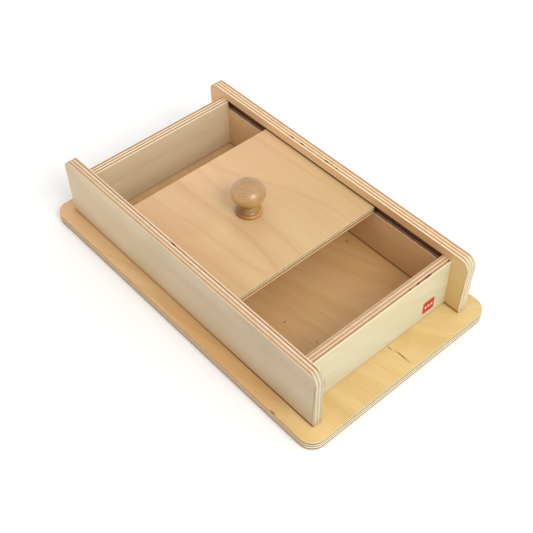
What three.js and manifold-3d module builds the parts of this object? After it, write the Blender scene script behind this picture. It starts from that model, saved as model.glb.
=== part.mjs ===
// Infant's activity box: a low open box of birch plywood on a wide base plate, closed in part by a lid
// that slides between its two ends. Millimetres, +Z up, +X towards the labelled end, +Y towards the back.
// The origin is the middle of the base plate's underside.

import * as THREE from "three";
import { mergeVertices } from "three/addons/utils/BufferGeometryUtils.js";
import Module from "manifold-3d";

// ---- Driving dimensions ---------------------------------------------------------------------------

const PLY = 9;                      // thickness of the base, the sides and the ends
const ARRIS = 1;                    // radius of the sanded edges

const BASE_LENGTH = 317;
const BASE_WIDTH = 187;
const BASE_CORNER = 12;             // radius of the base plate's corners, seen from above

const SIDE_LENGTH = 294;            // the sides run on past the ends
const SIDE_HEIGHT = 55.5;           // above the base plate's top
const SIDE_CORNER = 8;              // radius of the sides' upper corners
const BOX_WIDTH = 161.5;            // over both sides

const BOX_LENGTH = 264;             // over both ends
const END_HEIGHT = 47.5;            // above the base plate's top

const GROOVE_HEIGHT = 8.5;
const GROOVE_DEPTH = 4.5;
const GROOVE_SILL = 39.5;           // its lower edge above the base plate's top
const GROOVE_END_FLAT = 0.02;       // straight part left at each rounded end, behind an end panel

const LID_LENGTH = 126.7;
const LID_THICKNESS = 6.7;
const LID_CORNER = 3;
const LID_ARRIS = 0.6;
const LID_LIFT = 0.1;               // running gap under the lid in the grooves
const LID_SIDE_GAP = 0.5;           // from the lid's edge to the bottom of each groove
const LID_REST_X = -10.5;           // middle of the lid as it stands

const KNOB_OFFSET_X = 1.4;          // the knob stands a little off the lid's middle
const KNOB_OFFSET_Y = -3;
const DOWEL_DIAMETER = 6;
const DOWEL_LENGTH = 20;
const DOWEL_CHAMFER = 0.6;
const DOWEL_IN_SIDE = 5.5;          // how far a dowel enters a side panel's face
const DOWEL_HEIGHTS = { low: 12, high: 31 };   // above the base plate's top
const FIT = 0.1;                    // gap round a dowel or a screw in its hole

const SCREW_SHANK = 3.5;
const SCREW_HEAD = 7;
const SCREW_HEAD_LAND = 0.3;        // straight rim of the head, under its face
const SCREW_HEAD_CONE = 2.2;        // height of the countersunk head
const SCREW_TIP = 5;                // length of the pointed end
const SCREW_SINK = 0.4;             // how deep the head sits below the surface
const BASE_SCREW_LENGTH = 30;
const KNOB_SCREW_LENGTH = 20;
const CROSS_WIDTH = 0.9;            // the slots of the cross recess
const CROSS_SPAN = 4;
const CROSS_DEPTH = 1.5;
const SIDE_SCREWS_X = { left: -108, middle: 0, right: 108 };
const END_SCREWS_Y = { front: -40, back: 40 };

const LABEL_SIZE = 12;
const LABEL_THICKNESS = 0.25;
const LABEL_CORNER = 0.8;
const LABEL_Y = 52;                 // middle of the label
const LABEL_Z = 22;

// Heights and faces worked out from the dimensions above.
const BASE_TOP = PLY;
const SIDE_Y = BOX_WIDTH / 2 - PLY / 2;            // middle of a side panel's thickness
const INNER_Y = BOX_WIDTH / 2 - PLY;               // inner face of a side panel
const END_X = BOX_LENGTH / 2 - PLY / 2;            // middle of an end panel's thickness
const INNER_X = BOX_LENGTH / 2 - PLY;              // inner face of an end panel
const LID_WIDTH = 2 * (INNER_Y + GROOVE_DEPTH - LID_SIDE_GAP);
const LID_Z = BASE_TOP + GROOVE_SILL + LID_LIFT;   // underside of the lid
const KNOB_X = LID_REST_X + KNOB_OFFSET_X;
const KNOB_Z = LID_Z + LID_THICKNESS;             // the lid's top

// Knob: radius and height above the lid, from the foot to the crown.
const KNOB_FOOT = [[0, 0], [10.1, 0], [10.7, 0.6], [10.8, 1.5], [10.4, 2.4], [9.5, 2.9], [8.5, 3.1]];
const KNOB_NECK = [[7.6, 4.0], [7.0, 5.4], [6.8, 7.0], [7.1, 8.8], [7.9, 10.4], [8.8, 11.7]];
const KNOB_HEAD_RADIUS = 13.65;
const KNOB_HEAD_MIDDLE = 19.6;      // height of the widest ring above the lid
const KNOB_HEAD_UPPER = 9.4;        // from the widest ring to the top, along an ellipse
const KNOB_HEAD_LOWER = 9;          // half height of the fuller curve below the widest ring
const KNOB_HEAD_FULLNESS = 2.3;     // that curve's exponent, where 2 is an ellipse
const KNOB_HEAD_START = -0.93;      // angle on the curve where the head meets the neck
const KNOB_HEAD_STEPS = 8;

const ROUND_SEGMENTS = 14;          // sides of a dowel, a screw and their holes
const KNOB_SEGMENTS = 36;
const ARRIS_SEGMENTS = 2;           // facets across a sanded edge
const CORNER_SEGMENTS = 8;          // facets round a board's corner
const SMALL_CORNER_SEGMENTS = 5;    // the same for the lid, the grooves and the label
const CLEAR = 1;                    // how far a cutting shape stands out of the wood

// ---- Materials ------------------------------------------------------------------------------------

function finish(color, roughness, metalness = 0) {
  return () => new THREE.MeshStandardMaterial({ color, roughness, metalness });
}

const birch = finish(0xdcb888, 0.45);
const beech = finish(0xb98f5c, 0.35);
const dowelWood = finish(0xd9bd92, 0.7);
const zincSteel = finish(0xb9bcc0, 0.35, 1);
const redVinyl = finish(0xc82f2c, 0.5);

// ---- Solids ---------------------------------------------------------------------------------------

const wasm = await Module();
wasm.setup();

// A closed geometry as a solid that can be joined and cut.
function toSolid(geometry) {
  const bare = geometry.clone();
  bare.deleteAttribute("normal");
  bare.deleteAttribute("uv");
  const merged = mergeVertices(bare, 1e-4);
  const corners = [];
  for (let i = 0; i < merged.index.count; i += 3) {
    const a = merged.index.getX(i);
    const b = merged.index.getX(i + 1);
    const c = merged.index.getX(i + 2);
    if (a !== b && b !== c && c !== a) corners.push(a, b, c);
  }
  return new wasm.Manifold(new wasm.Mesh({
    numProp: 3,
    vertProperties: new Float32Array(merged.attributes.position.array),
    triVerts: new Uint32Array(corners),
  }));
}

function toGeometry(solid) {
  const mesh = solid.getMesh();
  const geometry = new THREE.BufferGeometry();
  geometry.setAttribute("position", new THREE.BufferAttribute(new Float32Array(mesh.vertProperties), 3));
  geometry.setIndex(new THREE.BufferAttribute(new Uint32Array(mesh.triVerts), 1));
  const flat = geometry.toNonIndexed();
  flat.computeVertexNormals();
  return flat;
}

function cut(geometry, tools) {
  let solid = toSolid(geometry);
  for (const tool of tools) solid = solid.subtract(toSolid(tool));
  return toGeometry(solid);
}

function roundedRectangle(width, height, radius) {
  const x = width / 2;
  const y = height / 2;
  const shape = new THREE.Shape();
  shape.moveTo(x, -y + radius);
  shape.lineTo(x, y - radius);
  shape.absarc(x - radius, y - radius, radius, 0, Math.PI / 2, false);
  shape.absarc(-x + radius, y - radius, radius, Math.PI / 2, Math.PI, false);
  shape.absarc(-x + radius, -y + radius, radius, Math.PI, 1.5 * Math.PI, false);
  shape.absarc(x - radius, -y + radius, radius, 1.5 * Math.PI, 2 * Math.PI, false);
  return shape;
}

// A flat board of the shape, with all its long edges sanded round, from z = 0 to its thickness.
function board(shape, thickness, arris, curveSegments) {
  const geometry = new THREE.ExtrudeGeometry(shape, {
    depth: thickness - 2 * arris,
    bevelThickness: arris,
    bevelSize: arris,
    bevelOffset: -arris,
    bevelSegments: ARRIS_SEGMENTS,
    curveSegments,
  });
  return geometry.translate(0, 0, arris);
}

// A lathe turned about Z from [radius, height] pairs, which go up from the axis back to the axis.
function turned(pairs, segments) {
  const points = pairs.map(([radius, height]) => new THREE.Vector2(radius, height));
  return new THREE.LatheGeometry(points, segments).rotateX(Math.PI / 2);
}

// ---- Fastener holes and fasteners -----------------------------------------------------------------

// The hole for a countersunk screw driven upwards from z = 0, and on through the wood above.
function screwHole(length) {
  const shank = SCREW_SHANK / 2 + FIT;
  const head = SCREW_HEAD / 2 + FIT;
  return turned([
    [0, -CLEAR],
    [head, -CLEAR],
    [head, SCREW_SINK + SCREW_HEAD_LAND],
    [shank, SCREW_SINK + SCREW_HEAD_CONE],
    [shank, length + SCREW_SINK + FIT],
    [0, length + SCREW_SINK + FIT],
  ], ROUND_SEGMENTS);
}

// The part of a screw hole that lies in the wood above the first board.
function pilotHole(length) {
  const radius = SCREW_SHANK / 2 + FIT;
  return turned([[0, -CLEAR], [radius, -CLEAR], [radius, length + FIT], [0, length + FIT]], ROUND_SEGMENTS);
}

// A countersunk wood screw with a cross recess, its head's face at z = 0 and its point upwards.
function woodScrew(length) {
  const shank = SCREW_SHANK / 2;
  const blank = turned([
    [0, 0],
    [SCREW_HEAD / 2, 0],
    [SCREW_HEAD / 2, SCREW_HEAD_LAND],
    [shank, SCREW_HEAD_CONE],
    [shank, length - SCREW_TIP],
    [0, length],
  ], ROUND_SEGMENTS);
  const slot = new THREE.BoxGeometry(CROSS_SPAN, CROSS_WIDTH, 2 * CROSS_DEPTH);
  const crossSlot = new THREE.BoxGeometry(CROSS_WIDTH, CROSS_SPAN, 2 * CROSS_DEPTH);
  return cut(blank, [slot, crossSlot]);
}

function dowelHole(depth) {
  return new THREE.CylinderGeometry(
    DOWEL_DIAMETER / 2 + FIT, DOWEL_DIAMETER / 2 + FIT, 2 * (depth + FIT), ROUND_SEGMENTS);
}

// ---- Boards ---------------------------------------------------------------------------------------

function basePlate() {
  const outline = roundedRectangle(BASE_LENGTH, BASE_WIDTH, BASE_CORNER);
  const plate = board(outline, PLY, ARRIS, CORNER_SEGMENTS);
  const holes = [];
  for (const y of [-SIDE_Y, SIDE_Y]) {
    for (const x of Object.values(SIDE_SCREWS_X)) {
      holes.push(screwHole(BASE_SCREW_LENGTH).translate(x, y, 0));
    }
  }
  for (const x of [-END_X, END_X]) {
    for (const y of Object.values(END_SCREWS_Y)) {
      holes.push(screwHole(BASE_SCREW_LENGTH).translate(x, y, 0));
    }
  }
  return cut(plate, holes);
}

// A side panel stands on z = 0, centred on its thickness. Its inner face looks along inward times Y.
function sidePanel(inward) {
  const below = 2 * ARRIS;           // trimmed off, so that the bottom edge stays square
  const height = SIDE_HEIGHT + below;
  const half = SIDE_LENGTH / 2;
  const shape = new THREE.Shape();
  shape.moveTo(-half, -below);
  shape.lineTo(half, -below);
  shape.lineTo(half, SIDE_HEIGHT - SIDE_CORNER);
  shape.absarc(half - SIDE_CORNER, SIDE_HEIGHT - SIDE_CORNER, SIDE_CORNER, 0, Math.PI / 2, false);
  shape.absarc(-half + SIDE_CORNER, SIDE_HEIGHT - SIDE_CORNER, SIDE_CORNER, Math.PI / 2, Math.PI, false);
  const panel = board(shape, PLY, ARRIS, CORNER_SEGMENTS);
  panel.rotateX(Math.PI / 2).translate(0, PLY / 2, 0);
  const trim = new THREE.BoxGeometry(SIDE_LENGTH + 2 * CLEAR, PLY + 2 * CLEAR, height);
  trim.translate(0, 0, -height / 2);

  const groove = new THREE.ExtrudeGeometry(
    roundedRectangle(2 * INNER_X + GROOVE_HEIGHT, GROOVE_HEIGHT, (GROOVE_HEIGHT - GROOVE_END_FLAT) / 2),
    { depth: 2 * GROOVE_DEPTH, bevelEnabled: false, curveSegments: SMALL_CORNER_SEGMENTS });
  groove.rotateX(Math.PI / 2);
  groove.translate(0, GROOVE_DEPTH + inward * PLY / 2, GROOVE_SILL + GROOVE_HEIGHT / 2);

  const tools = [trim, groove];
  for (const x of [-END_X, END_X]) {
    for (const z of Object.values(DOWEL_HEIGHTS)) {
      tools.push(dowelHole(DOWEL_IN_SIDE).translate(x, inward * PLY / 2, z));
    }
  }
  for (const x of Object.values(SIDE_SCREWS_X)) {
    tools.push(pilotHole(BASE_SCREW_LENGTH + SCREW_SINK - PLY).translate(x, 0, 0));
  }
  return cut(panel, tools);
}

// An end panel stands on z = 0, centred on its thickness, and spans from side to side along Y.
function endPanel() {
  const half = PLY / 2;
  const profile = new THREE.Shape();
  profile.moveTo(-half, 0);
  profile.lineTo(half, 0);
  profile.lineTo(half, END_HEIGHT - ARRIS);
  profile.absarc(half - ARRIS, END_HEIGHT - ARRIS, ARRIS, 0, Math.PI / 2, false);
  profile.absarc(-half + ARRIS, END_HEIGHT - ARRIS, ARRIS, Math.PI / 2, Math.PI, false);
  const panel = new THREE.ExtrudeGeometry(profile, {
    depth: 2 * INNER_Y,
    bevelEnabled: false,
    curveSegments: ARRIS_SEGMENTS + 1,
  });
  panel.rotateX(Math.PI / 2).translate(0, INNER_Y, 0);

  const tools = [];
  for (const y of [-INNER_Y, INNER_Y]) {
    for (const z of Object.values(DOWEL_HEIGHTS)) {
      tools.push(dowelHole(DOWEL_LENGTH - DOWEL_IN_SIDE).translate(0, y, z));
    }
  }
  for (const y of Object.values(END_SCREWS_Y)) {
    tools.push(pilotHole(BASE_SCREW_LENGTH + SCREW_SINK - PLY).translate(0, y, 0));
  }
  return cut(panel, tools);
}

function lidPanel() {
  const outline = roundedRectangle(LID_LENGTH, LID_WIDTH, LID_CORNER);
  const panel = board(outline, LID_THICKNESS, LID_ARRIS, SMALL_CORNER_SEGMENTS);
  return cut(panel, [screwHole(KNOB_SCREW_LENGTH).translate(KNOB_OFFSET_X, KNOB_OFFSET_Y, 0)]);
}

function lidKnob() {
  const head = [];
  for (let step = 1; step < KNOB_HEAD_STEPS; step += 1) {
    const angle = KNOB_HEAD_START + (Math.PI / 2 - KNOB_HEAD_START) * step / KNOB_HEAD_STEPS;
    const rise = Math.sin(angle);
    const half = rise < 0 ? KNOB_HEAD_LOWER : KNOB_HEAD_UPPER;
    const exponent = rise < 0 ? KNOB_HEAD_FULLNESS : 2;
    const share = (1 - Math.abs(rise) ** exponent) ** (1 / exponent);
    head.push([KNOB_HEAD_RADIUS * share, KNOB_HEAD_MIDDLE + half * rise]);
  }
  head.push([0, KNOB_HEAD_MIDDLE + KNOB_HEAD_UPPER]);
  const knob = turned([...KNOB_FOOT, ...KNOB_NECK, ...head], KNOB_SEGMENTS);
  return cut(knob, [pilotHole(KNOB_SCREW_LENGTH + SCREW_SINK - LID_THICKNESS)]);
}

function dowel() {
  const radius = DOWEL_DIAMETER / 2;
  return turned([
    [0, 0],
    [radius - DOWEL_CHAMFER, 0],
    [radius, DOWEL_CHAMFER],
    [radius, DOWEL_LENGTH - DOWEL_CHAMFER],
    [radius - DOWEL_CHAMFER, DOWEL_LENGTH],
    [0, DOWEL_LENGTH],
  ], ROUND_SEGMENTS).rotateX(Math.PI / 2).translate(0, DOWEL_LENGTH, 0);
}

function labelSheet() {
  const sheet = new THREE.ExtrudeGeometry(
    roundedRectangle(LABEL_SIZE, LABEL_SIZE, LABEL_CORNER),
    { depth: LABEL_THICKNESS, bevelEnabled: false, curveSegments: SMALL_CORNER_SEGMENTS });
  return sheet.rotateX(Math.PI / 2).rotateZ(Math.PI / 2);
}

// ---- Assembly -------------------------------------------------------------------------------------

const assembly = new THREE.Group();
assembly.name = "sliding_lid_box";

function place(name, geometry, material, x, y, z) {
  const mesh = new THREE.Mesh(geometry, material());
  mesh.name = name;
  mesh.position.set(x, y, z);
  assembly.add(mesh);
}

place("base_plate", basePlate(), birch, 0, 0, 0);
place("front_side_panel", sidePanel(1), birch, 0, -SIDE_Y, BASE_TOP);
place("back_side_panel", sidePanel(-1), birch, 0, SIDE_Y, BASE_TOP);
place("left_end_panel", endPanel(), birch, -END_X, 0, BASE_TOP);
place("right_end_panel", endPanel(), birch, END_X, 0, BASE_TOP);

place("lid_panel", lidPanel(), birch, LID_REST_X, 0, LID_Z);
place("lid_knob", lidKnob(), beech, KNOB_X, KNOB_OFFSET_Y, KNOB_Z);
place("knob_screw", woodScrew(KNOB_SCREW_LENGTH), zincSteel, KNOB_X, KNOB_OFFSET_Y, LID_Z + SCREW_SINK);

place("label", labelSheet(), redVinyl, BOX_LENGTH / 2, LABEL_Y, LABEL_Z);

for (const [endName, x] of [["left", -END_X], ["right", END_X]]) {
  for (const [heightName, height] of Object.entries(DOWEL_HEIGHTS)) {
    const z = BASE_TOP + height;
    const frontTip = -INNER_Y - DOWEL_IN_SIDE;
    const backStart = INNER_Y + DOWEL_IN_SIDE - DOWEL_LENGTH;
    place(`dowel_front_${endName}_${heightName}`, dowel(), dowelWood, x, frontTip, z);
    place(`dowel_back_${endName}_${heightName}`, dowel(), dowelWood, x, backStart, z);
  }
}

const baseScrew = () => woodScrew(BASE_SCREW_LENGTH);
for (const [sideName, y] of [["front", -SIDE_Y], ["back", SIDE_Y]]) {
  for (const [placeName, x] of Object.entries(SIDE_SCREWS_X)) {
    place(`base_screw_${sideName}_${placeName}`, baseScrew(), zincSteel, x, y, SCREW_SINK);
  }
}
for (const [endName, x] of [["left", -END_X], ["right", END_X]]) {
  for (const [placeName, y] of Object.entries(END_SCREWS_Y)) {
    place(`base_screw_${endName}_end_${placeName}`, baseScrew(), zincSteel, x, y, SCREW_SINK);
  }
}

export default assembly;
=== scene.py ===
"""The looks of a sliding-lid activity box in birch plywood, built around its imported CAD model.

Metres, in the row frame: +X towards the labelled end, +Y towards the back, +Z up, with the origin in the
middle of the base plate's underside. Boards are solid plywood: their materials are cut through the plies.
"""

import math

import bmesh
import bpy
from mathutils import Matrix, Quaternion, Vector


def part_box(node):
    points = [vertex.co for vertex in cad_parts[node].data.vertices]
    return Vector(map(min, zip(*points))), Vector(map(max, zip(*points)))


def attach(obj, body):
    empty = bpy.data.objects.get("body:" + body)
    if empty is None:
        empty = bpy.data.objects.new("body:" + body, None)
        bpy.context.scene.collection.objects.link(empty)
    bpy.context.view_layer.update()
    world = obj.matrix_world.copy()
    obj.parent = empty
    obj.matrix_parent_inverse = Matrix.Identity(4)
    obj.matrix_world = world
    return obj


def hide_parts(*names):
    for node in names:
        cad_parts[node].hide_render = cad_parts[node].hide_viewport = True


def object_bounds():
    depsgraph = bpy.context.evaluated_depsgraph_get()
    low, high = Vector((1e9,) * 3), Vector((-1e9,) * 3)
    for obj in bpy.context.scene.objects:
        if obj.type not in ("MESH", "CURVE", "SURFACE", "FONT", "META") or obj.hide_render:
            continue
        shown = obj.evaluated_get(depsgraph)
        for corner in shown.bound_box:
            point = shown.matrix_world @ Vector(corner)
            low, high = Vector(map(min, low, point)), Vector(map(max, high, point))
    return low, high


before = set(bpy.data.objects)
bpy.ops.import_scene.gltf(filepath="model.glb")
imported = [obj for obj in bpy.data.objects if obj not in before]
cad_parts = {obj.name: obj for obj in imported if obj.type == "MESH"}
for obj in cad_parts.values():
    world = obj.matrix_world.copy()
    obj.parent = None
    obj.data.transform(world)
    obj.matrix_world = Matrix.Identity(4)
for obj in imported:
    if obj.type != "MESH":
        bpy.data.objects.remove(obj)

CAD_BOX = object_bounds()
MM = 0.001

# ---- Sizes that the frame gives -----------------------------------------------------------------------

BASE_LOW, BASE_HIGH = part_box("base_plate")
FRONT_LOW, FRONT_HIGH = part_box("front_side_panel")
BACK_LOW, BACK_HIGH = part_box("back_side_panel")
LEFT_LOW, LEFT_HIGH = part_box("left_end_panel")
RIGHT_LOW, RIGHT_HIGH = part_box("right_end_panel")
LID_LOW, LID_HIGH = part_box("lid_panel")
KNOB_LOW, KNOB_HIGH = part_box("lid_knob")
LABEL_LOW, LABEL_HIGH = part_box("label")
OBJECT_MIDDLE = (CAD_BOX[0] + CAD_BOX[1]) / 2

# ---- Sizes that repeat the joiner's own ---------------------------------------------------------------

BASE_CORNER = 12 * MM
SIDE_CORNER = 8 * MM
LID_CORNER = 3 * MM
GROOVE_HEIGHT = 8.5 * MM
LID_LIFT = 0.1 * MM                 # running gap under the lid
LID_SIDE_GAP = 0.5 * MM             # from the lid's edge to the bottom of the groove
FIT = 0.1 * MM                      # gap round a dowel or a screw

BASE_TOP_ARRIS = 1.2 * MM
BASE_UNDER_ARRIS = 1.1 * MM
SIDE_ARRIS = 1.8 * MM
UNDER_ARRIS = 0.6 * MM              # leaves a dark line where a side panel stands on the base
END_ARRIS = 0.9 * MM
LID_ARRIS = 0.6 * MM
GROOVE_ARRIS = 0.8 * MM

DOWEL_RADIUS = 3 * MM
SHANK_RADIUS = 1.75 * MM
HEAD_RADIUS = 3.5 * MM
HEAD_LAND = 0.3 * MM
HEAD_CONE = 2.2 * MM
SCREW_SINK = 0.4 * MM


# ---- Camera -------------------------------------------------------------------------------------------

CAMERA_AZIMUTH = math.radians(49.03)      # from the front, towards the labelled end
CAMERA_ELEVATION = math.radians(47.63)
CAMERA_ROLL = math.radians(-0.9)
CAMERA_DISTANCE = 0.7394
CAMERA_AIM = Vector((0.0298, -0.0196, 0.035))
CAMERA_LENS = 65.47                       # on a sensor 36 mm wide


def make_camera():
    camera = bpy.data.objects.new("camera", bpy.data.cameras.new("camera"))
    bpy.context.scene.collection.objects.link(camera)
    camera.data.lens = CAMERA_LENS
    back = Vector((
        math.sin(CAMERA_AZIMUTH) * math.cos(CAMERA_ELEVATION),
        -math.cos(CAMERA_AZIMUTH) * math.cos(CAMERA_ELEVATION),
        math.sin(CAMERA_ELEVATION),
    ))
    camera.location = CAMERA_AIM + back * CAMERA_DISTANCE
    camera.rotation_mode = "QUATERNION"
    level = (-back).to_track_quat("-Z", "Y")
    camera.rotation_quaternion = level @ Quaternion((0, 0, 1), CAMERA_ROLL)
    bpy.context.scene.camera = camera


make_camera()


# ---- Studio -------------------------------------------------------------------------------------------

KEY_DIRECTION = (math.radians(-2), math.radians(42))     # from +X towards +Y, and above the floor
KEY_DISTANCE = 3.5
KEY_SIZE = 1.9
KEY_POWER = 58
ROOM_LIGHT = 0.86
FLOOR_REACH = 4
PAPER = (0.97, 0.97, 0.97, 1)


def make_studio():
    """A wide white floor in an evenly lit white room, with one large soft light beyond the labelled end."""
    scene = bpy.context.scene
    scene.view_settings.view_transform = "Standard"
    scene.world = bpy.data.worlds.new("studio")
    scene.world.use_nodes = True
    room = scene.world.node_tree.nodes["Background"]
    room.inputs["Color"].default_value = (1.0, 0.99, 0.98, 1)
    room.inputs["Strength"].default_value = ROOM_LIGHT

    shape = bmesh.new()
    bmesh.ops.create_grid(shape, x_segments=8, y_segments=8, size=FLOOR_REACH)
    mesh = bpy.data.meshes.new("floor")
    shape.to_mesh(mesh)
    shape.free()
    floor = bpy.data.objects.new("floor", mesh)
    scene.collection.objects.link(floor)
    paper = bpy.data.materials.new("studio_paper")
    paper.use_nodes = True
    matt = paper.node_tree.nodes["Principled BSDF"]
    matt.inputs["Base Color"].default_value = PAPER
    matt.inputs["Roughness"].default_value = 0.9
    mesh.materials.append(paper)

    key = bpy.data.lights.new("key", "AREA")
    key.shape = "DISK"
    key.size = KEY_SIZE
    key.energy = KEY_POWER
    key.color = (1.0, 0.99, 0.97)
    lamp = bpy.data.objects.new("key", key)
    around, above = KEY_DIRECTION
    direction = Vector((math.cos(above) * math.cos(around), math.cos(above) * math.sin(around),
                        math.sin(above)))
    lamp.location = OBJECT_MIDDLE + direction * KEY_DISTANCE
    lamp.rotation_mode = "QUATERNION"
    lamp.rotation_quaternion = direction.to_track_quat("Z", "Y")
    scene.collection.objects.link(lamp)


make_studio()


# ---- Node helper --------------------------------------------------------------------------------------

def colour(code):
    """A linear colour from a display colour written as six hexadecimal digits."""
    parts = [int(code[i:i + 2], 16) / 255 for i in (0, 2, 4)]
    return (*[p / 12.92 if p <= 0.04045 else ((p + 0.055) / 1.055) ** 2.4 for p in parts], 1)


class Finish:
    """A material being made. Each method adds one node and returns the socket that carries its result."""

    def __init__(self, name, roughness=0.5):
        self.material = bpy.data.materials.new(name)
        self.material.use_nodes = True
        self.tree = self.material.node_tree
        self.shader = self.tree.nodes["Principled BSDF"]
        self.shader.inputs["Roughness"].default_value = roughness
        place = self.tree.nodes.new("ShaderNodeTexCoord")
        self.place = place.outputs["Object"]
        self.normal = place.outputs["Normal"]

    def add(self, kind, inputs, output=0, **settings):
        node = self.tree.nodes.new(kind)
        for key, value in settings.items():
            setattr(node, key, value)
        for key, value in inputs.items():
            self.feed(node.inputs[key], value)
        return node.outputs[output]

    def feed(self, socket, value):
        if isinstance(value, bpy.types.NodeSocket):
            self.tree.links.new(value, socket)
        else:
            socket.default_value = value

    def math(self, operation, a, b=0.0, clamp=False):
        return self.add("ShaderNodeMath", {0: a, 1: b}, operation=operation, use_clamp=clamp)

    def plus(self, a, b):
        return self.math("ADD", a, b)

    def times(self, a, b):
        return self.math("MULTIPLY", a, b)

    def split(self, vector):
        node = self.tree.nodes.new("ShaderNodeSeparateXYZ")
        self.feed(node.inputs[0], vector)
        return {"x": node.outputs[0], "y": node.outputs[1], "z": node.outputs[2]}

    def point(self, x, y, z):
        return self.add("ShaderNodeCombineXYZ", {0: x, 1: y, 2: z})

    def noise(self, vector, scale=1.0, detail=2.0, roughness=0.5, distortion=0.0):
        return self.add("ShaderNodeTexNoise", {
            "Vector": vector, "Scale": scale, "Detail": detail, "Roughness": roughness,
            "Distortion": distortion})

    def step(self, value, start, end, low=0.0, high=1.0):
        """Rises smoothly from low to high while the value goes from start to end."""
        return self.add("ShaderNodeMapRange", {
            "Value": value, "From Min": start, "From Max": end, "To Min": low, "To Max": high},
            interpolation_type="SMOOTHSTEP")

    def mix(self, share, a, b, blend="MIX"):
        return self.add("ShaderNodeMix", {0: share, 6: a, 7: b}, output=2, data_type="RGBA",
                        blend_type=blend)

    def ramp(self, value, stops):
        node = self.tree.nodes.new("ShaderNodeValToRGB")
        elements = node.color_ramp.elements
        while len(elements) < len(stops):
            elements.new(0.5)
        for element, (position, tone) in zip(elements, stops):
            element.position = position
            element.color = tone
        self.feed(node.inputs[0], value)
        return node.outputs[0]

    def mark(self, middle, radii, rough=0.35):
        """1 inside an uneven blot and 0 outside it. Its middle and its radii are in millimetres."""
        local = self.add("ShaderNodeMapping", {
            "Vector": self.place,
            "Location": [v * MM for v in middle],
            "Scale": [v * MM for v in radii],
        }, vector_type="TEXTURE")
        reach = self.add("ShaderNodeVectorMath", {0: local}, output=1, operation="LENGTH")
        uneven = self.noise(self.place, scale=900.0, detail=1.0)
        return self.step(self.plus(reach, self.times(uneven, rough)), 0.75 + rough / 2, 1.15 + rough / 2,
                         1.0, 0.0)

    def bump(self, height, distance, strength=1.0):
        bump = self.add("ShaderNodeBump", {"Height": height, "Distance": distance, "Strength": strength})
        self.tree.links.new(bump, self.shader.inputs["Normal"])

    def paint(self, tone, roughness=None):
        self.feed(self.shader.inputs["Base Color"], tone)
        if roughness is not None:
            self.feed(self.shader.inputs["Roughness"], roughness)
        return self.material


# ---- Plywood ------------------------------------------------------------------------------------------

NINE_MM_PLIES = (0, 0.95, 2.4, 3.8, 5.2, 6.6, 8.05, 9)
BACK_PLIES = (0, 1.4, 2.85, 4.25, 5.65, 7.05, 8.45, 9)
LID_PLIES = (0, 1.5, 3.0, 4.4, 5.5, 6.7)
PLY_BLUR = 0.12                     # mm over which one ply's colour turns into the next

# Tones of a board's plies where they are cut, from its low face to its high one: the odd plies and the even
# plies along the face's grain, and then the same across it.
# The base's lowest ply along its grain is darker, as painted shade where the base meets the floor.
BASE_EDGES = (("937f66", "cbb697", "d8c3a0", "bea98d"), ("96714e", "a8835e", "a07654"),
              ("d8c7a3", "faeecc", "f4eac8", "f0e6cc"), ("86704e", "7a7054", "34302a"))
FRONT_EDGES = (("ddc3a1", "e1c9a8", "edd7b5", "eed7b8"), ("bb946a", "ba9572", "a97f5e"),
               ("bdb098", "d3c8aa", "d5c8a9", "c5b696"), ("a99d86", "b3a587", "b2a58a"))
BACK_EDGES = (("f9e0b7", "f8deb4", "f6d8af", "e9cb9c"), ("b78d60", "bf956b", "b7875b"),
              ("d7c7a7", "d7cbb0", "dacbaa", "dacaa4"), ("c1af8f", "c6b698", "c3b090"))
RIGHT_EDGES = (("e6c79c", "e1c8a6", "e4caa4", "e3c69e"), ("b9946a", "be966e", "ad835a")) * 2
LEFT_EDGES = (("e6c79c", "f7e2b9", "f8e8c7", "e9cfae"), ("aa7953", "b18360", "ac7e58")) * 2
LID_EDGES = (("e3c59a", "e6cba0", "ead0a8"), ("a07a52", "b08c64"),
             ("efd4a2", "eed7ab", "f4dfb6"), ("8d6d4b", "ac9672"))


def ply_stops(bounds, lights, darks):
    """Colour stops through a board's thickness: odd plies are light, with their grain along the board, and
    even ones show dark end grain."""
    whole = bounds[-1]
    stops = []
    for ply in range(len(bounds) - 1):
        tone = colour((darks if ply % 2 else lights)[ply // 2])
        low = bounds[ply] + (PLY_BLUR if ply else 0)
        high = bounds[ply + 1] - PLY_BLUR
        stops += [(low / whole, tone), (high / whole, tone)]
    return stops


# What a face looks like unless its board says otherwise. light and deep are its bands, blush its soft
# patches, stain its contour lines and fibres, and arris its pale edges, worn and with a painted highlight.
# slant, twist and wander bend the grain. bands and contours are how close the bands and lines lie, and
# mottle and contour how strong the patches and lines are. Each of the tints multiplies the colour, from
# nothing at its first place along the grain, in millimetres, to full at its second.
LOOK = {
    "light": "dfbc8c", "deep": "d8b07e", "blush": "d9a983", "stain": "b9835a", "fleck": "ab7c4d",
    "arris": "f1dfbe", "slant": 0.0, "twist": 0.0, "wander": 0.02, "bands": 60.0, "mottle": 0.35,
    "contours": 32.0, "contour": 0.2, "tints": (),
}


def look(**changes):
    return {**LOOK, **changes}


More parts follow.
